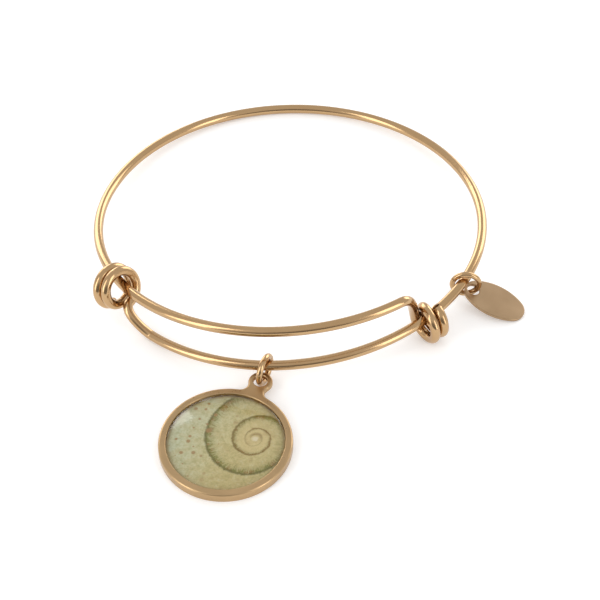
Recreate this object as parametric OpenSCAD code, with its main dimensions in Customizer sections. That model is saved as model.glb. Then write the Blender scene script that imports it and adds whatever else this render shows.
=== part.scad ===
// Charm bangle: one springy wire goes round the wrist, overlaps itself at the
// front and is coiled loosely at each end round its own other run, so that the
// bangle opens and closes by sliding. A round charm with a clear dome and a
// small oval tag hang from the wire on jump rings. The bangle lies on a flat
// surface as it comes to rest, with the drops laid out beside it.
//
// Origin: on the surface, under the middle of the ring. +Z is up, the overlap
// and the charm are toward -Y, and +X is to the right as seen from the front.
// Angles round the ring are counted from its back (+Y) and grow to the left.

/* [Bangle wire] */
// Radius of the ring, to the middle of the wire
ring_r = 32.4; // [28:0.1:38]
// Diameter of the bangle's wire
wire_d = 1.6; // [1.3:0.05:1.7]
// How far each end climbs away from the level of the back half
climb = 6.2; // [5:0.1:7.5]
// Half angle of the flat stretch at the back
flat_a = 72; // [55:1:85]
// Angle over which an end climbs
climb_a = 117; // [95:1:140]
// Chamfer round each cut end of the wire
end_chamfer = 0.25; // [0.05:0.05:0.4]

/* [Coils] */
// Room between the wire and the inside of a coil, all round
coil_room = 1.13; // [0.95:0.01:1.6]
// Angle from the back to the middle of the left coil
left_at = 129.4; // [120:0.1:136]
// Number of turns in the left coil
left_turns = 1.98; // [1.6:0.02:2.4]
// Gap between the turns of the left coil
left_gap = 0.08; // [0.06:0.02:0.5]
// Length of wire by which the left end leaves its run before its coil
left_lead = 7.6; // [6:0.1:9]
// How much wider the left coil is at its tip, as a share of its room
left_flare = 0.35; // [0:0.01:0.4]
// Angle from the back to the middle of the right coil
right_at = 131; // [124:0.1:137]
// Number of turns in the right coil
right_turns = 1.62; // [1.4:0.02:2.2]
// Gap between the turns of the right coil
right_gap = 0.1; // [0.06:0.02:0.5]
// Length of wire by which the right end leaves its run before its coil
right_lead = 6.1; // [5:0.1:8]
// How much tighter the right coil is at its tip, as a share of its room
right_taper = 0.31; // [0:0.01:0.35]

/* [Charm] */
// Diameter of the charm's round frame
charm_d = 20.3; // [16:0.1:26]
// Thickness of the frame
charm_t = 1.6; // [1.3:0.1:1.9]
// Width of the rim round the picture
rim_w = 1.15; // [0.8:0.05:2]
// Depth of the tray inside the rim
tray_depth = 0.9; // [0.6:0.05:1.1]
// Thickness of the picture disc in the tray
print_t = 0.25; // [0.1:0.05:0.4]
// Height of the clear dome's crown above the rim
dome_h = 0.9; // [0.4:0.05:1.6]
// Radius of the eye above the frame
eye_r = 1.9; // [1.8:0.05:2]
// Diameter of the hole in the eye
eye_hole_d = 2.2; // [2.1:0.05:2.4]
// Thickness of the eye, flush with the face of the rim
eye_t = 0.8; // [0.6:0.05:0.9]
// Gap between the frame's edge and the eye's circle, bridged by the neck
neck_l = 0.5; // [0.3:0.05:1.5]
// Radius of the hollow flanks of the neck
neck_fillet_r = 1.2; // [0.8:0.1:3]
// Chamfer on the edges of the frame
frame_chamfer = 0.15; // [0.05:0.05:0.25]

/* [Charm ring] */
// Outer diameter of the jump ring that holds the charm
charm_ring_d = 5.35; // [5.3:0.05:5.45]
// Wire diameter of that ring
charm_ring_wire = 1; // [0.9:0.05:1.05]
// Place of that ring round the bangle, as an angle from the back along the lower run
charm_at = 180.8; // [170:0.2:190]
// Angle by which the ring and the charm swing aside, seen from above
charm_swing = 16; // [0:1:30]
// Turn of the charm about its eye, seen from above
charm_turn = 17; // [0:1:40]

/* [Tag] */
// Length of the oval tag
tag_l = 10.5; // [9:0.1:14]
// Width of the tag
tag_w = 6.4; // [6:0.1:8]
// Thickness of the tag
tag_t = 0.55; // [0.4:0.05:0.7]
// Radius of the round ends of the oval
tag_end_r = 2.4; // [2:0.1:2.7]
// Diameter of the hole in the tag
tag_hole_d = 2.05; // [2:0.05:2.4]
// Metal left between the hole and the end of the tag
tag_hole_edge = 0.45; // [0.4:0.05:0.9]
// Outer diameter of the jump ring that holds the tag
tag_ring_d = 5.2; // [5:0.05:5.8]
// Wire diameter of that ring
tag_ring_wire = 0.9; // [0.7:0.05:0.95]
// Place of the tag's ring round the bangle, as an angle from the back to the right
tag_at = 113.6; // [102:0.2:116]
// Turn of the tag about its hole, seen from above, away from straight out
tag_turn = 5; // [-40:1:30]

/* [Hidden] */

gold = [0.80, 0.62, 0.42];
satin_gold = [0.74, 0.58, 0.44];
print_green = [0.80, 0.81, 0.66];
clear = [0.95, 0.97, 0.95, 0.4];

wire_r = wire_d / 2;
link_gap = 0.15;      // air left where one ring hangs in another
seat_gap = 0.03;      // air left round the pieces that lie in the charm's tray
ring_split = 0.08;    // slit where a jump ring is bent open
split_at = 150;       // angle of the slit round the ring, from its far side over its top

// How each coil sits on the run through it: turned inward or outward, leaning
// up or down, and off the middle by shares of its room
left_yaw = 17;
left_lean = -11.6;
left_seat = [0.66, -0.3];
left_start = 264.4;
right_yaw = 14.8;
right_lean = 6.5;
right_seat = [0.27, -0.735];
right_start = 226;
// How strongly the wire is pulled straight as it leaves a run and enters a coil
left_leave = 3.6;
left_enter = 7.4;
right_leave = 9;
right_enter = 6.5;

// Facets of the wire: sides round it, degrees between rings on the ring and in
// the coils, and steps in each bend
wire_sides = 12;
ring_step = 3.2;
coil_step = 15;
bend_steps = 12;
near_a = 0.05;        // angle between the two points that give a direction on the ring

// Stretches of the run that may touch the surface beside each end and at the
// back, and how often the resting plane is worked out again
end_stretch_a = 60;
back_stretch_a = 90;
rest_tries = 12;

// Vectors
function unit(v) = v / norm(v);
function across(v, t) = v - t * (v * t);
function turned(v, axis, a) = v * cos(a) + cross(axis, v) * sin(a) + axis * (axis * v) * (1 - cos(a));

// The ring, in a frame of its own with the back half at height 0
function climb_share(a) = let(s = max(abs(a) - flat_a, 0) / climb_a) 1 - exp(-s * s);
function run_point(a) =
    [-ring_r * sin(a), ring_r * cos(a), sign(a) * climb * climb_share(a)];
function run_dir(a, side) = unit(run_point(a + side * near_a) - run_point(a - side * near_a));
function outward(a) = [-sin(a), cos(a), 0];

// The coil at one end: side is 1 on the left and -1 on the right
function coil_axes(at, side, yaw, lean) =
    let(
        a = side * at,
        t = run_dir(a, -side),
        n = unit(across(outward(a), t)),
        up = cross(t, n)[2] > 0 ? cross(t, n) : cross(n, t),
        axis = (t * cos(yaw) + n * sin(yaw)) * cos(lean) + up * sin(lean),
        e2 = unit(across(up, axis)),
        e1 = unit(across(across(n, axis), e2))
    ) [run_point(a), t, n, up, axis, e1, e2];
function coil_point(f, side, seat, turns, step, start, taper, s) =
    f[0] + (f[2] * seat[0] + f[3] * seat[1]) * coil_room
    + f[4] * (s / 360 - turns / 2) * step
    + (wire_d + coil_room * (1 - taper * s / (360 * turns)))
      * (f[5] * cos(start - side * s) + f[6] * sin(start - side * s));
function coil_points(f, side, seat, turns, step, start, taper) =
    let(k = ceil(turns * 360 / coil_step))
    [for (i = [0:k]) coil_point(f, side, seat, turns, step, start, taper, i * turns * 360 / k)];

// A bend from p to q, pulled along its two end directions
function bend(p, dp, q, dq, u) =
    p * (2 * u * u * u - 3 * u * u + 1) + dp * (u * u * u - 2 * u * u + u)
    + q * (3 * u * u - 2 * u * u * u) + dq * (u * u * u - u * u);
function bend_points(p, dp, q, dq) =
    [for (i = [1:bend_steps]) bend(p, dp, q, dq, i / bend_steps)];

// The left end leaves the lower run and coils round the upper one from below
left_leave_a = 360 - left_at - left_lead / ring_r * 180 / PI;
left_axes = coil_axes(left_at, 1, left_yaw, left_lean);
left_coil = coil_points(left_axes, 1, left_seat, left_turns, wire_d + left_gap,
    left_start, -left_flare);
left_from = run_point(-left_leave_a);
left_bend = bend_points(left_from, run_dir(-left_leave_a, -1) * left_leave,
    left_coil[0], unit(left_coil[1] - left_coil[0]) * left_enter);

// The right end leaves the upper run and coils round the lower one from the inside
right_leave_a = 360 - right_at - right_lead / ring_r * 180 / PI;
right_axes = coil_axes(right_at, -1, right_yaw, right_lean);
right_coil = coil_points(right_axes, -1, right_seat, right_turns, wire_d + right_gap,
    right_start, right_taper);
right_from = run_point(right_leave_a);
right_bend = bend_points(right_from, run_dir(right_leave_a, 1) * right_leave,
    right_coil[0], unit(right_coil[1] - right_coil[0]) * right_enter);

// The whole route, from the tip of the left coil to the tip of the right one
function reversed(l) = [for (i = [len(l) - 1:-1:0]) l[i]];
function rest_of(l) = [for (i = [1:len(l) - 1]) l[i]];
run_rings = ceil((left_leave_a + right_leave_a) / ring_step);
run_points = [for (i = [0:run_rings])
    run_point(-left_leave_a + i * (left_leave_a + right_leave_a) / run_rings)];
left_end = concat(left_bend, rest_of(left_coil));
right_end = concat(right_bend, rest_of(right_coil));
route = concat(reversed(left_end), run_points, right_end);

// How it rests: on the left end, the right end and the back, tangent to all three
function lowest(l, n) =
    let(heights = [for (p = l) p * n], least = min(heights))
    [for (i = [0:len(l) - 1]) if (heights[i] == least) l[i]][0];
function upward(n) = n[2] < 0 ? -n : n;
left_feet = concat(left_end, [for (a = [0:ring_step:end_stretch_a]) run_point(a - left_leave_a)]);
right_feet = concat(right_end, [for (a = [0:ring_step:end_stretch_a]) run_point(right_leave_a - a)]);
back_feet = [for (a = [-back_stretch_a:ring_step / 2:back_stretch_a]) run_point(a)];
function rest_normal(n, tries) = tries == 0 ? n :
    let(a = lowest(left_feet, n), b = lowest(right_feet, n), c = lowest(back_feet, n))
    rest_normal(upward(unit(cross(b - a, c - a))), tries - 1);
rest_n = rest_normal([0, 0, 1], rest_tries);
rest_axis = unit(cross(rest_n, [0, 0, 1]));
rest_a = acos(rest_n[2]);
rest_h = min([for (p = route) p * rest_n]) - wire_r;
function placed(p) = turned(p, rest_axis, rest_a) - [0, 0, rest_h];

// A round wire swept along its points
function dir_at(l, i) = unit(l[min(i + 1, len(l) - 1)] - l[max(i - 1, 0)]);
function with_tips(l) = let(k = len(l) - 1) concat(
    [l[0], l[0] + unit(l[1] - l[0]) * end_chamfer],
    [for (i = [1:k - 1]) l[i]],
    [l[k] + unit(l[k - 1] - l[k]) * end_chamfer, l[k]]
);
module swept_wire(l, r, sides) {
    n = len(l);
    dirs = [for (i = [0:n - 1]) dir_at(l, i)];
    us = [for (i = 0, u = unit(across([0, 0, 1], dirs[0])); i < n;
        u = unit(across(u, dirs[min(i + 1, n - 1)])), i = i + 1) u];
    points = [for (i = [0:n - 1]) for (j = [0:sides - 1])
        let(
            tip = i == 0 || i == n - 1,
            a = 360 * j / sides,
            v = cross(dirs[i], us[i])
        ) l[i] + (us[i] * cos(a) + v * sin(a)) * (tip ? r - end_chamfer : r)];
    faces = concat(
        [[for (j = [0:sides - 1]) j]],
        [for (i = [0:n - 2]) for (j = [0:sides - 1])
            let(k = i * sides, next = (j + 1) % sides)
                [k + j, k + sides + j, k + sides + next, k + next]],
        [[for (j = [sides - 1:-1:0]) (n - 1) * sides + j]]
    );
    polyhedron(points, faces, convexity = 12);
}

// A jump ring that hangs on the bangle: h is its level direction, away from the bangle
module jump_ring(centre, h, ring_d, ring_wire) {
    v = cross(h, [0, 0, 1]);
    split_a = ring_split / (PI * (ring_d - ring_wire)) * 360;
    multmatrix([
        [h[0], 0, v[0], centre[0]],
        [h[1], 0, v[1], centre[1]],
        [h[2], 1, v[2], centre[2]]
    ])
        rotate([0, 0, split_at + split_a / 2])
            rotate_extrude(angle = 360 - split_a, $fn = 96)
                translate([(ring_d - ring_wire) / 2, 0])
                    circle(d = ring_wire, $fn = 32);
}

// How far its middle is from the wire when it touches the wire from below, for
// a ring turned by swing from square to the wire
function hang(ring_d, ring_wire, swing) = ring_d / 2 - ring_wire - wire_r / cos(swing) - link_gap;

// How far the middle of a hole is shifted along h from the middle of the ring's
// wire, so that the slanting wire clears both edges of the hole alike
function hole_shift(r, ring_wire, t, drop_a) =
    let(
        over = asin(sin(drop_a) - t / 2 / r),
        under = asin(sin(drop_a) + t / 2 / r)
    ) r * ((cos(over) + cos(under)) / 2 - cos(drop_a))
        + ring_wire / 4 * (1 / cos(over) - 1 / cos(under));

// Where the charm's ring and eye are
charm_hang_a = 22;    // the ring is pulled outward and down from the wire
charm_drop_a = 31;    // how far round the ring, below level, the eye sits
charm_wire_at = placed(run_point(-charm_at));
charm_out = outward(-charm_at);
charm_ring_at = charm_wire_at + hang(charm_ring_d, charm_ring_wire, charm_swing)
    * (charm_out * cos(charm_hang_a) - [0, 0, sin(charm_hang_a)]);
charm_ring_dir = turned(charm_out, [0, 0, 1], -charm_swing);
charm_ring_r = (charm_ring_d - charm_ring_wire) / 2;
charm_shift = hole_shift(charm_ring_r, charm_ring_wire, eye_t, charm_drop_a);
charm_hole_at = charm_ring_at - [0, 0, charm_ring_r * sin(charm_drop_a)]
    + charm_ring_dir * (charm_ring_r * cos(charm_drop_a) + charm_shift);
charm_dir = turned(charm_out, [0, 0, 1], -charm_turn);

// Where the tag's ring and hole are
tag_swing = 27;       // turn of the tag's ring from straight out
tag_hang_a = 58;      // how steeply the wire pulls at the tag's ring
tag_drop_a = 45;
tag_wire_at = placed(run_point(-tag_at));
tag_out = outward(-tag_at);
tag_ring_at = tag_wire_at
    + (tag_out * cos(tag_hang_a) - [0, 0, sin(tag_hang_a)]) * hang(tag_ring_d, tag_ring_wire, tag_swing);
tag_ring_dir = turned(tag_out, [0, 0, 1], tag_swing);
tag_ring_r = (tag_ring_d - tag_ring_wire) / 2;
tag_shift = hole_shift(tag_ring_r, tag_ring_wire, tag_t, tag_drop_a);
tag_hole_at = tag_ring_at - [0, 0, tag_ring_r * sin(tag_drop_a)]
    + tag_ring_dir * (tag_ring_r * cos(tag_drop_a) + tag_shift);
tag_dir = turned(tag_out, [0, 0, 1], tag_turn);

// Slope at which a flat piece lies when its hole is held at height z, its far
// edge touches the surface, and the two are reach apart along it, the hole's
// middle standing mid above its underside
function lying_slope(z, reach, mid) = asin(z / norm([reach, mid])) - atan2(mid, reach);

// Sizes of the charm
charm_r = charm_d / 2;
base_r = charm_r - frame_chamfer;
tray_r = charm_r - rim_w;
tray_z = charm_t - tray_depth;
fill_r = tray_r - seat_gap;
eye_at = charm_r + neck_l + eye_r;
eye_mid = charm_t - eye_t / 2;
charm_slope = lying_slope(charm_hole_at[2], base_r + eye_at, eye_mid);
module in_charm() {
    translate([charm_hole_at[0], charm_hole_at[1], base_r * sin(charm_slope)])
        rotate([0, 0, atan2(charm_dir[1], charm_dir[0]) + 90])
            translate([0, -eye_at * cos(charm_slope) + eye_mid * sin(charm_slope), 0])
                rotate([charm_slope, 0, 0])
                    children();
}

// Sizes of the tag
tag_hole_in = tag_hole_edge + tag_hole_d / 2;
tag_reach = tag_l - tag_hole_in;
tag_slope = lying_slope(tag_hole_at[2], tag_reach, tag_t / 2);
module in_tag() {
    translate([tag_hole_at[0], tag_hole_at[1], tag_reach * sin(tag_slope)])
        rotate([0, 0, atan2(tag_dir[1], tag_dir[0])])
            translate([-tag_t / 2 * sin(tag_slope), 0, 0])
                rotate([0, tag_slope, 0])
                    translate([tag_l / 2 - tag_hole_in, 0, 0])
                        children();
}

// Outline of the eye and its neck, with hollow flanks that run into the rim
module eye_outline() {
    rim_reach = charm_r + neck_fillet_r;
    eye_reach = eye_r + neck_fillet_r;
    fillet_x = (rim_reach * rim_reach - eye_reach * eye_reach + eye_at * eye_at) / (2 * eye_at);
    fillet_y = sqrt(rim_reach * rim_reach - fillet_x * fillet_x);
    on_rim = [fillet_y, fillet_x] * charm_r / rim_reach;
    on_eye = [0, eye_at] + [fillet_y, fillet_x - eye_at] * eye_r / eye_reach;
    difference() {
        union() {
            translate([0, eye_at])
                circle(r = eye_r, $fn = 64);
            polygon([
                on_eye, on_rim, [on_rim[0], charm_r - rim_w / 2],
                [-on_rim[0], charm_r - rim_w / 2], [-on_rim[0], on_rim[1]], [-on_eye[0], on_eye[1]]
            ]);
        }
        for (s = [-1, 1])
            translate([s * fillet_y, fillet_x])
                circle(r = neck_fillet_r, $fn = 48);
        translate([0, eye_at])
            circle(d = eye_hole_d, $fn = 48);
    }
}

// Oval of four arcs, shrunk all round by inset
module oval(inset) {
    a = tag_l / 2 - inset;
    b = tag_w / 2 - inset;
    e = tag_end_r - inset;
    c = a - e;
    k = (c * c - (b - e) * (b - e)) / (2 * (b - e));
    big = b + k;
    join_x = c * big / (big - e);
    for (s = [-1, 1])
        translate([s * c, 0])
            circle(r = e, $fn = 64);
    intersection() {
        translate([0, -k])
            circle(r = big, $fn = 180);
        translate([0, k])
            circle(r = big, $fn = 180);
        square([2 * join_x, 3 * b], center = true);
    }
}

module bangle_wire() {
    color(gold)
        swept_wire(with_tips([for (p = route) placed(p)]), wire_r, wire_sides);
}

module charm_ring() {
    color(gold)
        jump_ring(charm_ring_at, charm_ring_dir, charm_ring_d, charm_ring_wire);
}

module charm_frame() {
    color(satin_gold)
        in_charm() {
            rotate_extrude($fn = 128)
                polygon([
                    [0, 0], [base_r, 0], [charm_r, frame_chamfer],
                    [charm_r, charm_t - frame_chamfer], [base_r, charm_t],
                    [tray_r + frame_chamfer, charm_t], [tray_r, charm_t - frame_chamfer],
                    [tray_r, tray_z], [0, tray_z]
                ]);
            translate([0, 0, charm_t - eye_t])
                linear_extrude(eye_t)
                    eye_outline();
        }
}

module charm_print() {
    color(print_green)
        in_charm()
            translate([0, 0, tray_z + seat_gap])
                cylinder(r = fill_r, h = print_t, $fn = 96);
}

module charm_dome() {
    dome_base = tray_z + print_t + 2 * seat_gap;
    cap_h = dome_h + frame_chamfer;
    cap_r = (fill_r * fill_r + cap_h * cap_h) / (2 * cap_h);
    color(clear)
        in_charm()
            intersection() {
                translate([0, 0, dome_base])
                    cylinder(r = fill_r, h = charm_t + dome_h - dome_base, $fn = 96);
                translate([0, 0, charm_t + dome_h - cap_r])
                    sphere(r = cap_r, $fn = 180);
            }
}

module tag_ring() {
    color(gold)
        jump_ring(tag_ring_at, tag_ring_dir, tag_ring_d, tag_ring_wire);
}

module oval_tag() {
    color(satin_gold)
        in_tag()
            difference() {
                linear_extrude(tag_t)
                    oval(0);
                translate([tag_hole_in - tag_l / 2, 0, -tag_t])
                    cylinder(d = tag_hole_d, h = 3 * tag_t, $fn = 48);
            }
}

bangle_wire();
charm_ring();
charm_frame();
charm_print();
charm_dome();
tag_ring();
oval_tag();
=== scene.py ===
from math import asin, atan2, ceil, cos, degrees, exp, hypot, pi, radians, sin, sqrt, tan

import bmesh
import bpy
from mathutils import Matrix, Vector


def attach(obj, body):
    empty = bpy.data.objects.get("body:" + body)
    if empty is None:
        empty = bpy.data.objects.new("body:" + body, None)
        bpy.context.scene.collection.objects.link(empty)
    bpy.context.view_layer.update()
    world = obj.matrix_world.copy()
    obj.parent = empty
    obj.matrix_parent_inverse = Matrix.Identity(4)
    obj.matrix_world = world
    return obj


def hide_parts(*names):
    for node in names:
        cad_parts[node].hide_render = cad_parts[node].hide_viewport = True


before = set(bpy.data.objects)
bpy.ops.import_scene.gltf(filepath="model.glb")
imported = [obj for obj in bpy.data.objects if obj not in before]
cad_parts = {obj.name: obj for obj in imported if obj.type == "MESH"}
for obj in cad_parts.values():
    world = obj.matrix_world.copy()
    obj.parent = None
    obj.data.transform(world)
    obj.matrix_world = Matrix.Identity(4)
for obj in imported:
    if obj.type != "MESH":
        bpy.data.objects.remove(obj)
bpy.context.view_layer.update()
mm = 0.001
up = Vector((0, 0, 1))

# Lengths in the dictionaries are in millimetres, unless a note says metres, and angles
# are in degrees; the camera's place and directions are in the CAD frame
camera = {"place": (23.45, -186.9, 182.97), "right": (0.9946, 0.1028, -0.0137),
          "up": (-0.0654, 0.7245, 0.6861), "focalPixels": 1531, "picturePixels": 600,
          "sensor": 36.0, "near": 10}


def makeCamera(s):
    data = bpy.data.cameras.new("camera")
    data.sensor_width = s["sensor"]
    data.lens = s["focalPixels"] / s["picturePixels"] * s["sensor"]
    data.clip_start = s["near"] * mm
    right = Vector(s["right"]).normalized()
    upward = Vector(s["up"])
    upward = (upward - right * upward.dot(right)).normalized()
    turn = Matrix((right, upward, right.cross(upward))).transposed().to_4x4()
    ob = bpy.data.objects.new("camera", data)
    ob.matrix_world = Matrix.Translation(Vector(s["place"]) * mm) @ turn
    bpy.context.collection.objects.link(ob)
    bpy.context.scene.camera = ob


makeCamera(camera)
print("camera set")


# Wraps a shader socket, so that maths on values reads as an expression
class Sock:
    def __init__(self, tree, socket):
        self.tree, self.socket = tree, socket

    def __add__(self, other): return Nodes(self.tree).maths("ADD", self, other)
    __radd__ = __add__

    def __sub__(self, other): return Nodes(self.tree).maths("SUBTRACT", self, other)

    def __rsub__(self, other): return Nodes(self.tree).maths("SUBTRACT", other, self)

    def __mul__(self, other): return Nodes(self.tree).maths("MULTIPLY", self, other)
    __rmul__ = __mul__

    def __truediv__(self, other): return Nodes(self.tree).maths("DIVIDE", self, other)

    def __rtruediv__(self, other): return Nodes(self.tree).maths("DIVIDE", other, self)


# Adds nodes to one tree: a node's type, its settings first, then its sockets
class Nodes:
    def __init__(self, tree):
        self.tree = tree

    def add(self, kind, settings=None, sockets=None, out=0):
        node = self.tree.nodes.new(kind)
        for name, value in (settings or {}).items():
            setattr(node, name, value)
        for name, value in (sockets or {}).items():
            if isinstance(value, Sock):
                self.tree.links.new(value.socket, node.inputs[name])
            else:
                node.inputs[name].default_value = value
        return Sock(self.tree, node.outputs[out])

    def maths(self, operation, *values):
        return self.add("ShaderNodeMath", {"operation": operation}, dict(enumerate(values)))

    def vectors(self, operation, *values, out=0):
        return self.add("ShaderNodeVectorMath", {"operation": operation}, dict(enumerate(values)),
                        out=out)

    # the length of the arrow (x, y)
    def span(self, x, y): return self.maths("SQRT", x * x + y * y)

    def mix(self, share, a, b):
        a, b = [(*v, 1) if isinstance(v, tuple) else v for v in (a, b)]
        return self.add("ShaderNodeMix", {"data_type": "RGBA", "clamp_factor": True},
                        {0: share, 6: a, 7: b}, out=2)

    def part(self, vector, index):
        return self.add("ShaderNodeSeparateXYZ", {}, {0: vector}, out=index)

    def noise(self, where, scale, detail=3.0, roughness=0.5, out=0):
        return self.add("ShaderNodeTexNoise", {"noise_dimensions": "3D"},
                        {"Vector": where, "Scale": scale, "Detail": detail, "Roughness": roughness},
                        out=out)

    def fit(self, value, low, high, toLow=0.0, toHigh=1.0, smooth=False):
        return self.add("ShaderNodeMapRange",
                        {"clamp": True, "interpolation_type": "SMOOTHSTEP" if smooth else "LINEAR"},
                        {0: value, 1: low, 2: high, 3: toLow, 4: toHigh})


def newMaterial(name):
    material = bpy.data.materials.new(name)
    material.use_nodes = True
    tree = material.node_tree
    return material, Nodes(tree), tree.nodes["Principled BSDF"]


def feed(nodes, shader, **values):
    for name, value in values.items():
        socket = shader.inputs[name.replace("_", " ")]
        if isinstance(value, Sock):
            nodes.tree.links.new(value.socket, socket)
        else:
            socket.default_value = value


polish = {"colour": (0.545, 0.36, 0.19), "deep": (0.45, 0.27, 0.125), "deepShare": 0.35,
          "roughness": (0.11, 0.21), "drawnScale": (0.35, 9.0, 1.0), "cloudScale": 160.0,
          "markScale": 1900.0, "bump": 0.18, "bumpDepth": 0.02}


# Plated wire: polished, with faint marks drawn along it
def polishedGold(s):
    material, n, shader = newMaterial("polished_gold")
    uv = n.add("ShaderNodeUVMap", {"uv_map": "UVMap"})
    # u runs along the piece and v round it, both in millimetres
    stretched = n.add("ShaderNodeMapping", {}, {"Vector": uv, "Scale": s["drawnScale"]})
    lines = n.noise(stretched, 1.0, detail=4, roughness=0.6)
    place = n.add("ShaderNodeTexCoord", out=3)
    cloud = n.noise(place, s["cloudScale"], detail=3)
    marks = n.noise(place, s["markScale"], detail=2)
    tone = n.fit(cloud * 0.6 + lines * 0.4, 0.35, 0.65) * s["deepShare"]
    feed(n, shader, Base_Color=n.mix(tone, s["colour"], s["deep"]), Metallic=1.0,
         Roughness=n.fit(cloud * 0.5 + marks * 0.5, 0.3, 0.7, *s["roughness"]),
         Normal=n.add("ShaderNodeBump", {}, {"Strength": s["bump"], "Distance": s["bumpDepth"] * mm,
                                              "Height": lines}))
    return material


tagSatin = {"name": "satin_gold", "colour": (0.38, 0.255, 0.145), "worn": (0.43, 0.295, 0.175),
            "roughness": (0.27, 0.41)}
charmSatin = {"name": "warm_satin_gold", "colour": (0.465, 0.315, 0.165),
              "worn": (0.53, 0.36, 0.19), "roughness": (0.24, 0.38)}
satinGrain = {"cloudScale": 190.0, "grainScale": 5200.0, "pitScale": 1300.0, "bump": 0.25,
              "bumpDepth": 0.02}


# Stamped metal: plated over a fine, slightly uneven satin finish
def satinGold(s, grained):
    material, n, shader = newMaterial(s["name"])
    place = n.add("ShaderNodeTexCoord", out=3)
    cloud = n.noise(place, grained["cloudScale"], detail=4)
    grain = n.noise(place, grained["grainScale"], detail=2)
    pits = n.noise(place, grained["pitScale"], detail=3)
    feed(n, shader, Base_Color=n.mix(n.fit(cloud, 0.35, 0.7), s["colour"], s["worn"]), Metallic=1.0,
         Roughness=n.fit(cloud * 0.6 + pits * 0.4, 0.3, 0.7, *s["roughness"]),
         Normal=n.add("ShaderNodeBump", {}, {"Strength": grained["bump"],
                                              "Distance": grained["bumpDepth"] * mm,
                                              "Height": grain * 0.6 + pits * 0.4}))
    return material


gold = polishedGold(polish)
print("metals made")


# Links a bmesh as a piece that rides on the part and stands for its CAD node
def addPiece(bm, name, node, material):
    mesh = bpy.data.meshes.new(name)
    bm.to_mesh(mesh)
    bm.free()
    mesh.materials.append(material)
    ob = bpy.data.objects.new(name, mesh)
    bpy.context.collection.objects.link(ob)
    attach(ob, "root")
    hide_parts(node)
    return ob


levelZ = 0.9999  # a face counts as level when its normal is this near to upright


# Shades a piece smooth but for its sharp edges, and if asked keeps its level faces flat
def smooth(bm, angle, level=False):
    for face in bm.faces:
        face.smooth = True
    for edge in bm.edges:
        flat = [abs(face.normal.z) > levelZ for face in edge.link_faces]
        edge.smooth = (len(flat) == 2 and edge.calc_face_angle(0) < radians(angle)
                       and not (level and flat[0] != flat[1]))


wire = {"ringR": 32.4, "wireD": 1.6, "climb": 6.2, "flatA": 72, "climbA": 117, "chamfer": 0.25,
        "room": 1.13, "ringStep": 1.6, "coilStep": 6, "bendSteps": 32, "sides": 32,
        "dirStep": 0.05, "sharpA": 50,
        # how far along the chamfer, and how much of it is still to come, at each stop of a tip
        "tipCurve": [(0, 1), (0.13, 0.5), (0.5, 0.13), (1, 0)],
        "restStep": 0.8, "restEnd": 60, "restBack": 90, "restRounds": 12}
leftEnd = {"side": 1, "at": 129.4, "turns": 1.98, "gap": 0.08, "lead": 7.6, "taper": -0.35,
           "yaw": 17, "lean": -11.6, "seat": (0.66, -0.3), "start": 264.4, "leave": 3.6, "enter": 7.4}
rightEnd = {"side": -1, "at": 131, "turns": 1.62, "gap": 0.1, "lead": 6.1, "taper": 0.31,
            "yaw": 14.8, "lean": 6.5, "seat": (0.27, -0.735), "start": 226, "leave": 9, "enter": 6.5}


def sind(a): return sin(radians(a))


def cosd(a): return cos(radians(a))


def across(v, t): return v - t * v.dot(t)


# The ring in a frame of its own; angles count from its back and grow to the left
def runPoint(a):
    share = 1 - exp(-(max(abs(a) - wire["flatA"], 0) / wire["climbA"]) ** 2)
    return Vector((-wire["ringR"] * sind(a), wire["ringR"] * cosd(a),
                   (1 if a > 0 else -1) * wire["climb"] * share))


# The way the run goes at angle a, to growing angles for side 1 and back for -1
def runDir(a, side):
    step = side * wire["dirStep"]
    return (runPoint(a + step) - runPoint(a - step)).normalized()


def outward(a): return Vector((-sind(a), cosd(a), 0))


# The axes of a coil: along the run through it, outward and up, then its own
def coilAxes(s):
    a = s["side"] * s["at"]
    t = runDir(a, -s["side"])
    n = across(outward(a), t).normalized()
    rise = t.cross(n)
    rise = rise if rise.z > 0 else -rise
    axis = (t * cosd(s["yaw"]) + n * sind(s["yaw"])) * cosd(s["lean"]) + rise * sind(s["lean"])
    e2 = across(rise, axis).normalized()
    e1 = across(across(n, axis), e2).normalized()
    return runPoint(a), t, n, rise, axis, e1, e2


# The middle line of a coil, from where the bend reaches it to its tip
def coilPoints(s):
    p, t, n, rise, axis, e1, e2 = coilAxes(s)
    middle = p + (n * s["seat"][0] + rise * s["seat"][1]) * wire["room"]
    k = ceil(s["turns"] * 360 / wire["coilStep"])
    points = []
    for i in range(k + 1):
        turn = s["turns"] * i / k
        r = wire["wireD"] + wire["room"] * (1 - s["taper"] * i / k)
        phase = s["start"] - s["side"] * turn * 360
        points.append(middle + axis * (turn - s["turns"] / 2) * (wire["wireD"] + s["gap"])
                      + (e1 * cosd(phase) + e2 * sind(phase)) * r)
    return points


# A smooth bend from p to q, which leaves along dp and arrives along dq
def bendPoints(p, dp, q, dq):
    points = []
    for i in range(1, wire["bendSteps"] + 1):
        u = i / wire["bendSteps"]
        points.append(p * (2 * u**3 - 3 * u**2 + 1) + dp * (u**3 - 2 * u**2 + u)
                      + q * (3 * u**2 - 2 * u**3) + dq * (u**3 - u**2))
    return points


# One end: the bend out of its run, and the coil round the other run
def endPoints(s):
    leaveA = 360 - s["at"] - degrees(s["lead"] / wire["ringR"])
    a = -s["side"] * leaveA
    coil = coilPoints(s)
    start = runPoint(a)
    into = (coil[1] - coil[0]).normalized() * s["enter"]
    away = runDir(a, -s["side"]) * s["leave"]
    return leaveA, bendPoints(start, away, coil[0], into) + coil[1:]


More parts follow.
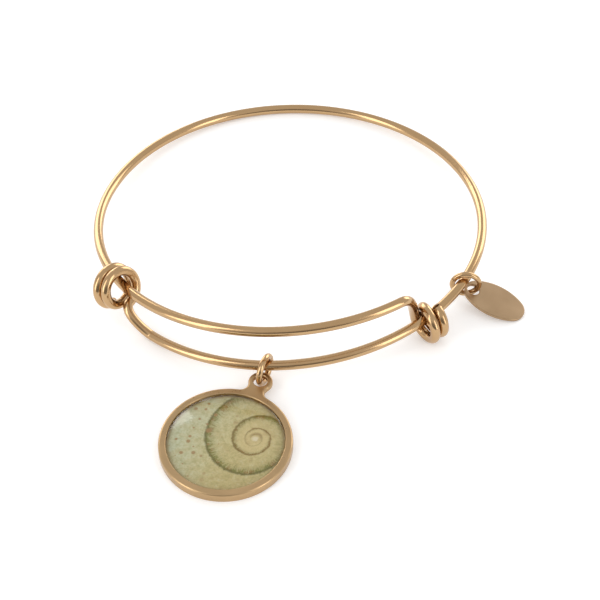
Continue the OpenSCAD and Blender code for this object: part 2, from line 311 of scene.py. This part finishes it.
leftLeaveA, leftPoints = endPoints(leftEnd)
rightLeaveA, rightPoints = endPoints(rightEnd)
runCount = ceil((leftLeaveA + rightLeaveA) / wire["ringStep"])
runPoints = [runPoint(-leftLeaveA + i * (leftLeaveA + rightLeaveA) / runCount)
             for i in range(runCount + 1)]
route = leftPoints[::-1] + runPoints + rightPoints


# It rests on the left end, the right end and the back
def restNormal(s):
    span = [i * s["restStep"] for i in range(round(s["restEnd"] / s["restStep"]) + 1)]
    left = leftPoints + [runPoint(-leftLeaveA + a) for a in span]
    right = rightPoints + [runPoint(rightLeaveA - a) for a in span]
    back = [runPoint(i * s["restStep"] - s["restBack"])
            for i in range(round(2 * s["restBack"] / s["restStep"]) + 1)]
    n = up.copy()
    for _ in range(s["restRounds"]):
        a, b, c = [min(points, key=lambda p: p.dot(n)) for points in (left, right, back)]
        n = (b - a).cross(c - a).normalized()
        n = n if n.z > 0 else -n
    return n


restN = restNormal(wire)
restTurn = restN.rotation_difference(up).to_matrix()
restH = min(p.dot(restN) for p in route) - wire["wireD"] / 2


def placed(p): return restTurn @ p - up * restH


# A tube along points, through Blender's own curve, with both tips rounded off
def sweptWire(s, points):
    r, sides = s["wireD"] / 2, s["sides"]

    def tip(end, inner):
        along = (inner - end).normalized() * s["chamfer"]
        return [(end + along * far, 1 - s["chamfer"] / r * left) for far, left in s["tipCurve"]]

    stops = (tip(points[0], points[1]) + [(p, 1) for p in points[1:-1]]
             + tip(points[-1], points[-2])[::-1])
    curve = bpy.data.curves.new("route", "CURVE")
    curve.dimensions = "3D"
    curve.bevel_depth = r * mm
    curve.bevel_resolution = sides // 2 - 2
    curve.use_fill_caps = True
    spline = curve.splines.new("POLY")
    spline.points.add(len(stops) - 1)
    for point, (p, share) in zip(spline.points, stops):
        point.co = (*(p * mm), 1)
        point.radius = share
    ob = bpy.data.objects.new("route", curve)
    bpy.context.collection.objects.link(ob)
    bpy.context.view_layer.update()
    mesh = bpy.data.meshes.new_from_object(ob.evaluated_get(bpy.context.evaluated_depsgraph_get()))
    bm = bmesh.new()
    bm.from_mesh(mesh)
    bpy.data.objects.remove(ob)
    bpy.data.curves.remove(curve)
    bpy.data.meshes.remove(mesh)
    # the curve's own map counts stops along it; this one is in millimetres
    lengths = [0.0]
    for (a, _), (b, _) in zip(stops, stops[1:]):
        lengths.append(lengths[-1] + (b - a).length)
    layer = bm.loops.layers.uv["UVMap"]
    bm.verts.index_update()
    for face in bm.faces:
        for loop in face.loops:
            loop[layer].uv = (lengths[min(loop.vert.index // sides, len(lengths) - 1)],
                              loop[layer].uv.y * 2 * pi * r)
    return bm


bm = sweptWire(wire, [placed(p) for p in route])
bmesh.ops.recalc_face_normals(bm, faces=bm.faces)
smooth(bm, wire["sharpA"])
addPiece(bm, "coiled_wire", "bangle_wire", gold)
print("bangle wire made")

rings = {"gap": 0.15, "split": 0.08, "splitAt": 150, "segments": 120, "sides": 32, "cut": 0.06,
         "cutSteps": 3, "sharpA": 50}
charmRing = {"outerD": 5.35, "wireD": 1.0, "at": 180.8, "swing": -16, "hangA": 22, "dropA": 31}
tagRing = {"outerD": 5.2, "wireD": 0.9, "at": 113.6, "swing": 27, "hangA": 58, "dropA": 45}


def turnedZ(v, a): return Matrix.Rotation(radians(a), 3, "Z") @ v


# Middle of a ring that hangs on the wire, its direction away from the wire, and
# the middle of the hole that it carries in a plate of thickness t
def hung(s, t):
    out = outward(-s["at"])
    reach = s["outerD"] / 2 - s["wireD"] - wire["wireD"] / 2 / cosd(s["swing"]) - rings["gap"]
    middle = placed(runPoint(-s["at"])) + (out * cosd(s["hangA"]) - up * sind(s["hangA"])) * reach
    away = turnedZ(out, s["swing"])
    r = (s["outerD"] - s["wireD"]) / 2
    over = asin(sind(s["dropA"]) - t / 2 / r)
    under = asin(sind(s["dropA"]) + t / 2 / r)
    shift = (r * (cos(over) + cos(under) - 2 * cosd(s["dropA"]))
             + s["wireD"] / 2 * (1 / cos(over) - 1 / cos(under))) / 2
    hole = middle - up * r * sind(s["dropA"]) + away * (r * cosd(s["dropA"]) + shift)
    return middle, away, hole


# A bent ring of round wire: a circle spun round, short of its slit, with both
# cut ends capped and eased; u of the map runs round the ring, v round the wire
def jumpRing(s, middle, away):
    r = (s["outerD"] - s["wireD"]) / 2 * mm
    slit = rings["split"] / (pi * (s["outerD"] - s["wireD"])) * 360
    toSlit = Matrix.Rotation(radians(rings["splitAt"] + slit / 2), 3, "Z")
    bm = bmesh.new()
    bmesh.ops.create_circle(bm, segments=rings["sides"], radius=s["wireD"] / 2 * mm)
    bmesh.ops.rotate(bm, verts=bm.verts, matrix=Matrix.Rotation(pi / 2, 3, "X"))
    bmesh.ops.translate(bm, verts=bm.verts, vec=(r, 0, 0))
    bmesh.ops.rotate(bm, verts=bm.verts, matrix=toSlit)
    bmesh.ops.spin(bm, geom=bm.verts[:] + bm.edges[:], axis=(0, 0, 1), cent=(0, 0, 0),
                   steps=rings["segments"], angle=radians(360 - slit), use_merge=False,
                   use_duplicate=False)
    bmesh.ops.holes_fill(bm, edges=[e for e in bm.edges if e.is_boundary], sides=0)
    ends = [e for e in bm.edges if any(len(f.verts) > 4 for f in e.link_faces)]
    bmesh.ops.bevel(bm, geom=ends, offset=rings["cut"] * mm, affect="EDGES",
                    segments=rings["cutSteps"], profile=0.5, material=-1)
    bmesh.ops.recalc_face_normals(bm, faces=bm.faces)
    layer = bm.loops.layers.uv.new("UVMap")
    for face in bm.faces:
        first = None
        for loop in face.loops:
            p = loop.vert.co
            angles = [atan2(p.y, p.x), atan2(p.z, hypot(p.x, p.y) - r)]
            if first:  # a face that crosses the map's seam stays in one stretch of it
                angles = [a + 2 * pi * round((b - a) / 2 / pi) for a, b in zip(angles, first)]
            first = first or angles
            loop[layer].uv = (angles[0] * r / mm, angles[1] * s["wireD"] / 2)
    smooth(bm, rings["sharpA"])
    turn = Matrix((away, up, away.cross(up))).transposed()
    bmesh.ops.transform(bm, verts=bm.verts, matrix=Matrix.Translation(middle * mm) @ turn.to_4x4())
    return bm


charm = {"discR": 10.15, "thick": 1.6, "rimW": 1.15, "trayDepth": 0.9, "printT": 0.25, "domeH": 0.9,
         "eyeR": 1.9, "holeR": 1.1, "eyeT": 0.8, "neckL": 0.5, "filletR": 1.2, "chamfer": 0.15,
         "turn": 17, "seatGap": 0.03, "round": 0.14, "roundSteps": 6, "outerRound": 0.36,
         "outerSteps": 10, "discSteps": 168, "traySteps": 144, "eyeSteps": 56, "filletSteps": 14,
         "sharpA": 40, "printCut": 0.03, "printSharpA": 30}
tag = {"length": 10.5, "width": 6.4, "thick": 0.55, "endR": 2.4, "holeR": 1.025, "holeEdge": 0.45,
       "turn": 5, "round": 0.12, "roundSteps": 3, "endSteps": 28, "holeSteps": 48, "sharpA": 40}

middle, away, charmHole = hung(charmRing, charm["eyeT"])
addPiece(jumpRing(charmRing, middle, away), "charm_jump_ring", "charm_ring", gold)
middle, away, tagHole = hung(tagRing, tag["thick"])
addPiece(jumpRing(tagRing, middle, away), "tag_jump_ring", "tag_ring", gold)
print("jump rings made")


# Slope of a flat piece whose hole is held at height z and whose far edge lies down
def lyingSlope(z, reach, mid): return asin(z / hypot(reach, mid)) - atan2(mid, reach)


# Closed loop of vertices from a list of (x, y, z), with its edges
def closedLoop(bm, points):
    verts = [bm.verts.new(Vector(p) * mm) for p in points]
    return verts, [bm.edges.new((a, b)) for a, b in zip(verts, verts[1:] + verts[:1])]


# Draws a closed loop on through further loops of points, one wall after another
def loft(bm, edges, loops):
    for points in loops:
        order = [e.verts[0] if e.verts[0] in before.verts else e.verts[1]
                 for before, e in zip(edges[-1:] + edges[:-1], edges)]
        out = bmesh.ops.extrude_edge_only(bm, edges=edges)["geom"]
        newEdges = {e for e in out if isinstance(e, bmesh.types.BMEdge)}
        newVerts = []
        for v, p in zip(order, points):
            w = next(e.other_vert(v) for e in v.link_edges
                     if e.other_vert(v) in out and e not in newEdges)
            newVerts.append(w)
            w.co = Vector(p) * mm
        edges = [next(e for e in a.link_edges if e in newEdges and e.other_vert(a) is b)
                 for a, b in zip(newVerts, newVerts[1:] + newVerts[:1])]
    return edges


# Points of a circle about (x, y) at height z
def circle(x, y, r, z, steps):
    return [(x + r * cos(2 * pi * i / steps), y + r * sin(2 * pi * i / steps), z)
            for i in range(steps)]


# Insets and heights of a rounded edge, from upright wall to flat face
def roundedEdge(r, steps):
    return [(r * (1 - cos(pi / 2 * i / steps)), r * sin(pi / 2 * i / steps))
            for i in range(steps + 1)]


# The loops of a rounded edge that starts at height z, for a shape drawn by its inset and height
def roundOff(shape, z, edge, way=1): return [shape(d, z + way * h) for d, h in edge]


eyeAt = charm["discR"] + charm["neckL"] + charm["eyeR"]
eyeMid = charm["thick"] - charm["eyeT"] / 2
baseR = charm["discR"] - charm["chamfer"]
trayR = charm["discR"] - charm["rimW"]
trayZ = charm["thick"] - charm["trayDepth"]
fillR = trayR - charm["seatGap"]
charmSlope = lyingSlope(charmHole.z, baseR + eyeAt, eyeMid)
charmAway = turnedZ(outward(-charmRing["at"]), -charm["turn"])


# From the charm's own frame, its back at height 0 and its eye toward +Y, to its place
def charmPlace():
    spin = atan2(charmAway.y, charmAway.x) + pi / 2
    back = eyeMid * sin(charmSlope) - eyeAt * cos(charmSlope)
    return (Matrix.Translation(Vector((charmHole.x, charmHole.y, baseR * sin(charmSlope))) * mm)
            @ Matrix.Rotation(spin, 4, "Z")
            @ Matrix.Translation(Vector((0, back, 0)) * mm)
            @ Matrix.Rotation(charmSlope, 4, "X"))


# Outline of disc, neck and eye in arcs of (middle, radius, way, from, to, steps)
def frameArcs(s):
    f = s["filletR"]
    fy = ((s["discR"] + f) ** 2 - (s["eyeR"] + f) ** 2 + eyeAt**2) / (2 * eyeAt)
    fx = sqrt((s["discR"] + f) ** 2 - fy**2)
    onDisc = atan2(fy, fx)
    onEye = atan2(fy - eyeAt, fx)
    return [((0, 0), s["discR"], 1, pi - onDisc, 2 * pi + onDisc, s["discSteps"]),
            ((fx, fy), f, -1, pi + onDisc, pi + onEye, s["filletSteps"]),
            ((0, eyeAt), s["eyeR"], 1, onEye, pi - onEye, s["eyeSteps"]),
            ((-fx, fy), f, -1, -onEye, -onDisc, s["filletSteps"])]


def frameOutline(s, inset, z):
    points = []
    for (x, y), r, way, a, b, steps in frameArcs(s):
        for i in range(steps):
            t = a + (b - a) * i / steps
            points.append((x + (r - way * inset) * cos(t), y + (r - way * inset) * sin(t), z))
    return points


def makeFrame(s):
    bm = bmesh.new()
    eyeZ = s["thick"] - s["eyeT"]
    edge = roundedEdge(s["round"], s["roundSteps"])
    faceZ, lowZ = s["thick"] - s["round"], eyeZ + s["round"]

    def outer(inset, z): return frameOutline(s, inset, z)

    def tray(grown, z): return circle(0, 0, trayR + grown, z, s["traySteps"])

    def hole(grown, z): return circle(0, eyeAt, s["holeR"] + grown, z, s["eyeSteps"])

    # rim and eye: the whole outline, drawn up and rounded over
    outline, outlineEdges = closedLoop(bm, outer(0, eyeZ))
    outerEdge = roundedEdge(s["outerRound"], s["outerSteps"])
    top = loft(bm, outlineEdges, roundOff(outer, s["thick"] - s["outerRound"], outerEdge))
    # tray: drawn from its floor up to the face
    trayFloor, trayEdges = closedLoop(bm, tray(0, trayZ))
    trayTop = loft(bm, trayEdges, roundOff(tray, faceZ, edge))
    bm.faces.new(trayFloor)
    # hole through the eye, rounded at both faces
    _, holeEdges = closedLoop(bm, hole(0, lowZ))
    holeTop = loft(bm, holeEdges, roundOff(hole, faceZ, edge))
    holeUnder = loft(bm, holeEdges, roundOff(hole, lowZ, edge[1:], -1))
    bmesh.ops.triangle_fill(bm, use_beauty=True, edges=top + trayTop + holeTop, normal=(0, 0, 1))
    # the disc goes on down behind the neck
    onDisc = outline[:s["discSteps"] + 1]
    a, b = [atan2(v.co.y, v.co.x) for v in (onDisc[-1], onDisc[0])]
    between = [bm.verts.new(Vector((s["discR"] * cos(t), s["discR"] * sin(t), eyeZ)) * mm)
               for t in [a + (b - a) * i / s["filletSteps"] for i in range(1, s["filletSteps"])]]
    chain = [onDisc[-1]] + between + [onDisc[0]]
    under = [bm.edges.new((p, q)) for p, q in zip(chain, chain[1:])]
    lip = outlineEdges[s["discSteps"]:]
    bmesh.ops.triangle_fill(bm, use_beauty=True, edges=lip + under + holeUnder, normal=(0, 0, -1))
    angles = [atan2(v.co.y, v.co.x) for v in onDisc + between]

    def disc(inset, z):
        return [((s["discR"] - inset) * cos(t), (s["discR"] - inset) * sin(t), z) for t in angles]

    bottom = loft(bm, outlineEdges[:s["discSteps"]] + under, roundOff(disc, s["round"], edge, -1))
    bmesh.ops.edgeloop_fill(bm, edges=bottom)
    bmesh.ops.recalc_face_normals(bm, faces=bm.faces)
    return bm


bm = makeFrame(charm)
smooth(bm, charm["sharpA"], level=True)
bmesh.ops.transform(bm, verts=bm.verts, matrix=charmPlace())
addPiece(bm, "charm_frame_rounded", "charm_frame", satinGold(charmSatin, satinGrain))
print("charm frame made")


# The picture disc: crisp edge, its map in millimetres from the disc's middle
def makePrint(s):
    bm = bmesh.new()
    bmesh.ops.create_circle(bm, cap_ends=True, segments=s["traySteps"], radius=fillR * mm)
    bmesh.ops.translate(bm, verts=bm.verts, vec=(0, 0, (trayZ + s["seatGap"]) * mm))
    raised = bmesh.ops.extrude_face_region(bm, geom=bm.faces[:])["geom"]
    bmesh.ops.translate(bm, verts=[v for v in raised if isinstance(v, bmesh.types.BMVert)],
                        vec=(0, 0, s["printT"] * mm))
    rims = [e for e in bm.edges if any(len(f.verts) > 4 for f in e.link_faces)]
    bmesh.ops.bevel(bm, geom=rims, offset=s["printCut"] * mm, affect="EDGES", segments=2,
                    profile=0.5, material=-1)
    bmesh.ops.recalc_face_normals(bm, faces=bm.faces)
    layer = bm.loops.layers.uv.new("UVMap")
    for face in bm.faces:
        for loop in face.loops:
            loop[layer].uv = (loop.vert.co.x / mm, loop.vert.co.y / mm)
    return bm


shell = {"eye": (3.8, 2.35), "squeeze": 1.07, "size": 2.6, "growth": 0.1235, "firstTurn": 20,
         "wobble": 0.5, "wobbleScale": 0.7, "fineScale": 3.0, "cloudScale": 0.42,
         "mottleScale": 1.15, "tickTurns": 26.0, "innerTickTurns": 11.0, "tickReach": (0.06, 0.28),
         "seamWidth": (0.2, 0.42), "speckScale": 0.61, "speckSize": 0.34, "roughness": 0.5,
         "gloss": 0.2, "field": (0.57, 0.475, 0.24), "cool": (0.53, 0.53, 0.38),
         "warm": (0.49, 0.375, 0.175), "seam": (0.125, 0.105, 0.018),
         "innerSeam": (0.225, 0.13, 0.03), "olive": (0.20, 0.185, 0.04),
         "brown": (0.27, 0.14, 0.04), "speck": (0.33, 0.18, 0.065), "core": (0.68, 0.58, 0.42),
         # edge: colour of the painted reflection of the gold rim and the painted shade at the tray
         # wall
         "nearEye": (0.62, 0.475, 0.24), "edge": (0.31, 0.215, 0.09)}


# Polished sea-snail shell: pale green, with the coiled seam of its turns as one
# logarithmic spiral, short ticks on the inner side of the seam, and brown specks
def shellPicture(s):
    material, n, shader = newMaterial("shell_picture")
    uv = n.add("ShaderNodeUVMap", {"uv_map": "UVMap"})
    # the seam isn't quite regular: its map wanders a little
    wander = n.vectors("SUBTRACT", n.noise(uv, s["wobbleScale"], detail=2, out=1), (0.5, 0.5, 0.5))
    bent = n.vectors("MULTIPLY_ADD", wander, (s["wobble"], s["wobble"], 0), uv)
    x = (n.part(bent, 0) - s["eye"][0]) * s["squeeze"]
    y = n.part(bent, 1) - s["eye"][1]
    r = n.maths("MAXIMUM", n.span(x, y), 0.02)
    around = n.maths("ARCTAN2", y, x)
    grown = n.maths("LOGARITHM", r / s["size"], exp(1)) / s["growth"]
    phase = (grown + around) / (2 * pi) + s["firstTurn"]
    arm = n.maths("FLOOR", phase)
    turn = phase - arm
    # the angle followed along the seam, which has no jump but at the seam itself
    followed = around - arm * (2 * pi)
    step = r * (2 * pi * s["growth"])
    outside = turn * step
    inside = (1 - turn) * step
    fine = n.noise(uv, s["fineScale"], detail=5, roughness=0.65)
    cloud = n.noise(uv, s["cloudScale"], detail=4, roughness=0.6)
    leftward = n.fit(n.part(uv, 0), 2.5, -8.0, smooth=True)
    lower = n.fit(n.part(uv, 1), -1.0, -9.0, smooth=True)
    field = n.mix(n.fit(cloud, 0.38, 0.66) * 0.8, s["field"], s["warm"])
    field = n.mix(lower * 0.45, field, s["warm"])
    field = n.mix(leftward * n.fit(cloud, 0.7, 0.4, 0.55, 1.0), field, s["cool"])
    # growth lines across the turns, and mottling
    lines = n.noise(n.add("ShaderNodeCombineXYZ", {}, {0: followed * 6.0, 1: turn * 3.0}), 1.3,
                    detail=5, roughness=0.65)
    mottle = n.noise(uv, s["mottleScale"], detail=5, roughness=0.7)
    field = n.mix(n.fit(lines, 0.42, 0.62) * 0.35, field, s["warm"])
    field = n.mix(n.fit(mottle, 0.48, 0.68) * 0.38, field, s["olive"])
    field = n.mix(n.fit(mottle, 0.46, 0.32) * 0.4, field, s["cool"])
    field = n.mix(n.fit(fine, 0.46, 0.66) * 0.3, field, s["olive"])
    # warmer and paler toward the eye
    field = n.mix(n.fit(r, 4.5, 1.2, smooth=True) * 0.6, field, s["nearEye"])
    # ticks on the inner side of the seam, fewer to a turn near the eye
    outerTicks, innerTicks = [
        n.noise(n.add("ShaderNodeCombineXYZ", {}, {0: followed * k, 1: turn * 2.5}), 1.0, detail=3,
                roughness=0.7) for k in (s["tickTurns"], s["innerTickTurns"])]
    ticks = innerTicks + (outerTicks - innerTicks) * n.fit(r, 3.8, 5.2)
    reach = r * n.fit(ticks, 0.40, 0.60, *s["tickReach"])
    shade = n.fit(inside / reach, 1.0, 0.35, smooth=True)
    soft = n.fit(inside / r, 0.30, 0.0, smooth=True)
    patch = n.maths("MAXIMUM", n.fit(n.noise(uv, 0.5, detail=2), 0.48, 0.60),
                    n.fit(r, 4.5, 3.0, 0.0, 0.6))
    tickColour = n.mix(patch, s["olive"], s["brown"])
    far = n.fit(r, 1.4, 3.3, 0.35, 1.0)
    field = n.mix(soft * 0.46 * far, field, s["olive"])
    field = n.mix(shade * n.fit(fine, 0.38, 0.55, 0.5, 0.95) * far, field, tickColour)
    # the seam, thin and brown near the eye, dark outside
    near = n.maths("MINIMUM", outside * 1.3, inside)
    wide = n.fit(r, 0.8, 6.0, *s["seamWidth"]) * n.fit(ticks, 0.35, 0.65, 0.55, 1.4)
    line = n.fit(near / wide, 1.0, 0.25, smooth=True) * n.fit(r, 1.45, 2.1)
    field = n.mix(line * n.fit(mottle, 0.35, 0.6, 0.5, 0.9), field,
                  n.mix(n.fit(r, 2.5, 6.0), s["innerSeam"], s["seam"]))
    # a brown curl over the eye, and the pale eye itself
    curl = n.fit(n.maths("ABSOLUTE", r - 0.95), 0.45, 0.1, smooth=True) * n.fit(y / r, -0.3, 0.6)
    field = n.mix(curl * 0.5, field, s["innerSeam"])
    field = n.mix(n.fit(r, 0.65, 0.2, smooth=True) * 0.85, field, s["core"])
    # specks, most of them on the left
    spots, which = [n.add("ShaderNodeTexVoronoi", {"feature": "F1", "voronoi_dimensions": "2D"},
                          {"Vector": uv, "Scale": s["speckScale"], "Randomness": 0.95}, out=out)
                    for out in (0, 1)]
    size = n.fit(n.part(which, 0), 0.25, 1.0, 0.0, s["speckSize"])
    speck = n.fit((spots + fine * 0.12 - 0.06) / (size + 0.01), 1.0, 0.45, smooth=True)
    field = n.mix(speck * n.fit(leftward, 0.05, 0.6, 0.2, 0.85), field, s["speck"])
    # painted reflection of the gold rim and painted shade: brown where the picture meets the wall of
    # the tray
    out = n.span(n.part(uv, 0), n.part(uv, 1))
    field = n.mix(n.fit(out, fillR - 0.6, fillR - 0.1, smooth=True) * 0.75, field, s["edge"])
    feed(n, shader, Base_Color=field, Roughness=s["roughness"], Specular_IOR_Level=s["gloss"])
    return material


bm = makePrint(charm)
smooth(bm, charm["printSharpA"])
bmesh.ops.transform(bm, verts=bm.verts, matrix=charmPlace())
addPiece(bm, "shell_disc", "charm_print", shellPicture(shell))
print("picture made")

# brim: insets from the wall, and heights over it, where the cap turns down into the wall
dome = {"steps": 160, "capSteps": 26, "brim": [(0.05, 0.004), (0.015, -0.02), (0, -0.07)],
        "foot": 0.02, "merge": 0.00001, "sharpA": 40, "tint": (0.99, 1.0, 0.985),
        "roughness": 0.1, "ior": 1.5}


# The clear crown over the picture: a cap of a sphere on a short wall, spun round
def makeDome(s):
    base = trayZ + charm["printT"] + 2 * charm["seatGap"]
    capH = charm["domeH"] + charm["chamfer"]
    capR = (fillR**2 + capH**2) / (2 * capH)
    peak = charm["thick"] + charm["domeH"]
    wide = asin(fillR / capR)
    profile = [(capR * sin(a), peak - capR + capR * cos(a))
               for a in [wide * i / s["capSteps"] for i in range(s["capSteps"])]]
    profile += [(fillR - inset, peak - capH + over) for inset, over in s["brim"]]
    profile += [(fillR, base + s["foot"]), (fillR - s["foot"], base), (0, base)]
    bm = bmesh.new()
    verts = [bm.verts.new((x * mm, 0, z * mm)) for x, z in profile]
    edges = [bm.edges.new(pair) for pair in zip(verts, verts[1:])]
    bmesh.ops.spin(bm, geom=verts + edges, axis=(0, 0, 1), cent=(0, 0, 0), steps=s["steps"],
                   angle=2 * pi, use_merge=True, use_duplicate=False)
    bmesh.ops.remove_doubles(bm, verts=bm.verts, dist=s["merge"] * mm)
    bmesh.ops.recalc_face_normals(bm, faces=bm.faces)
    return bm


# Clear resin: see-through but for what its surface mirrors
def clearResin(s):
    material, n, shader = newMaterial("clear_resin")
    clear = n.add("ShaderNodeBsdfTransparent", {}, {"Color": (*s["tint"], 1)})
    glossy = n.add("ShaderNodeBsdfGlossy", {}, {"Color": (1, 1, 1, 1), "Roughness": s["roughness"]})
    mirror = n.add("ShaderNodeFresnel", {}, {"IOR": s["ior"]})
    inner = n.add("ShaderNodeNewGeometry", out=6)  # the dome's own back faces mirror nothing
    mixed = n.add("ShaderNodeMixShader", {}, {0: mirror * (1 - inner), 1: clear, 2: glossy})
    output = next(node for node in n.tree.nodes if node.type == "OUTPUT_MATERIAL")
    n.tree.links.new(mixed.socket, output.inputs["Surface"])
    n.tree.nodes.remove(shader)
    return material


bm = makeDome(dome)
smooth(bm, dome["sharpA"])
bmesh.ops.transform(bm, verts=bm.verts, matrix=charmPlace())
addPiece(bm, "clear_dome", "charm_dome", clearResin(dome))
print("dome made")


# Oval of four arcs, shrunk by inset
def ovalOutline(s, inset, z):
    a, b, e, count = s["length"] / 2, s["width"] / 2, s["endR"], s["endSteps"]
    c = a - e
    k = (c * c - (b - e) ** 2) / (2 * (b - e))
    big = b + k
    joint = atan2(k, c)
    points = []
    for x, y, r, t0, t1, steps in ((c, 0, e, -joint, joint, count),
                                   (0, -k, big, joint, pi - joint, 2 * count),
                                   (-c, 0, e, pi - joint, pi + joint, count),
                                   (0, k, big, pi + joint, 2 * pi - joint, 2 * count)):
        for i in range(steps):
            t = t0 + (t1 - t0) * i / steps
            points.append((x + (r - inset) * cos(t), y + (r - inset) * sin(t), z))
    return points


def makeTag(s):
    bm = bmesh.new()
    edge = roundedEdge(s["round"], s["roundSteps"])
    low, high = s["round"], s["thick"] - s["round"]
    holeX = s["holeEdge"] + s["holeR"] - s["length"] / 2

    def outer(inset, z): return ovalOutline(s, inset, z)

    def hole(grown, z): return circle(holeX, 0, s["holeR"] + grown, z, s["holeSteps"])

    rims = []
    for shape in (outer, hole):
        _, wall = closedLoop(bm, shape(0, low))
        rims.append((loft(bm, wall, roundOff(shape, high, edge)),
                     loft(bm, wall, roundOff(shape, low, edge[1:], -1))))
    for (outerRim, holeRim), z in zip(zip(*rims), (1, -1)):
        bmesh.ops.triangle_fill(bm, use_beauty=True, edges=outerRim + holeRim, normal=(0, 0, z))
    bmesh.ops.recalc_face_normals(bm, faces=bm.faces)
    return bm


def tagPlace(s):
    holeIn = s["holeEdge"] + s["holeR"]
    reach = s["length"] - holeIn
    slope = lyingSlope(tagHole.z, reach, s["thick"] / 2)
    away = turnedZ(outward(-tagRing["at"]), s["turn"])
    return (Matrix.Translation(Vector((tagHole.x, tagHole.y, reach * sin(slope))) * mm)
            @ Matrix.Rotation(atan2(away.y, away.x), 4, "Z")
            @ Matrix.Translation(Vector((-s["thick"] / 2 * sin(slope), 0, 0)) * mm)
            @ Matrix.Rotation(slope, 4, "Y")
            @ Matrix.Translation(Vector((s["length"] / 2 - holeIn, 0, 0)) * mm))


bm = makeTag(tag)
smooth(bm, tag["sharpA"], level=True)
bmesh.ops.transform(bm, verts=bm.verts, matrix=tagPlace(tag))
addPiece(bm, "oval_plate", "oval_tag", satinGold(tagSatin, satinGrain))
print("tag made")

# Room, lights and floor, in metres
studio = {"floor": (0.95, 0.95, 0.95), "floorGlow": 0.2, "floorRoughness": 0.9, "floorSize": 3.0,
          "world": 0.78, "shade": 0.26, "shadeWay": (0.08, -1.0, 0.0), "shadeFrom": 0.72,
          "shadeFull": 0.92, "away": 0.85}
# Soft boxes that stand round the piece: bearing from the front (to the right is
# positive), lowest and highest elevation, width in degrees, and brightness
softBoxes = {
    "frontLeft": {"bearing": -52, "low": 2, "high": 56, "wide": 24, "glow": 2.5},
    "frontRight": {"bearing": 57, "low": 2, "high": 46, "wide": 18, "glow": 2.5},
    "backLeft": {"bearing": -142, "low": 2, "high": 29, "wide": 42, "glow": 2.35},
    "backPatch": {"bearing": -147, "low": 31, "high": 38.5, "wide": 11, "glow": 4.3},
    "backRight": {"bearing": 146, "low": 2, "high": 34, "wide": 42, "glow": 2.35},
}


def makeFloor(s):
    bm = bmesh.new()
    bmesh.ops.create_grid(bm, x_segments=1, y_segments=1, size=s["floorSize"] / 2)
    mesh = bpy.data.meshes.new("floor")
    bm.to_mesh(mesh)
    bm.free()
    material, n, shader = newMaterial("pale_floor")
    feed(n, shader, Base_Color=(*s["floor"], 1), Roughness=s["floorRoughness"],
         Specular_IOR_Level=0.0, Emission_Color=(1, 1, 1, 1), Emission_Strength=s["floorGlow"])
    mesh.materials.append(material)
    floor = bpy.data.objects.new("floor", mesh)
    bpy.context.collection.objects.link(floor)


# An even pale room, darker low in front, where nothing stands
def makeRoom(s):
    world = bpy.data.worlds.new("studio")
    bpy.context.scene.world = world
    world.use_nodes = True
    n = Nodes(world.node_tree)
    way = n.add("ShaderNodeTexCoord", out=0)
    front = n.vectors("DOT_PRODUCT", way, s["shadeWay"], out=1)
    level = n.fit(front, s["shadeFrom"], s["shadeFull"], s["world"], s["shade"], smooth=True)
    background = world.node_tree.nodes["Background"]
    world.node_tree.links.new(level.socket, background.inputs["Strength"])
    background.inputs["Color"].default_value = (1, 1, 1, 1)


def makeLights(s, boxes):
    for name, box in boxes.items():
        a = radians(box["bearing"])
        low, high = [s["away"] * tan(radians(box[k])) for k in ("low", "high")]
        data = bpy.data.lights.new(name, "AREA")
        data.shape = "RECTANGLE"
        data.size = 2 * s["away"] * tan(radians(box["wide"] / 2))
        data.size_y = high - low
        data.energy = box["glow"] * pi * data.size * data.size_y
        light = bpy.data.objects.new(name, data)
        light.location = (s["away"] * sin(a), -s["away"] * cos(a), (low + high) / 2)
        light.rotation_euler = (pi / 2, 0, a)
        bpy.context.collection.objects.link(light)


makeFloor(studio)
makeRoom(studio)
makeLights(studio, softBoxes)
bpy.context.scene.view_settings.view_transform = "Standard"
print("floor and lights made")
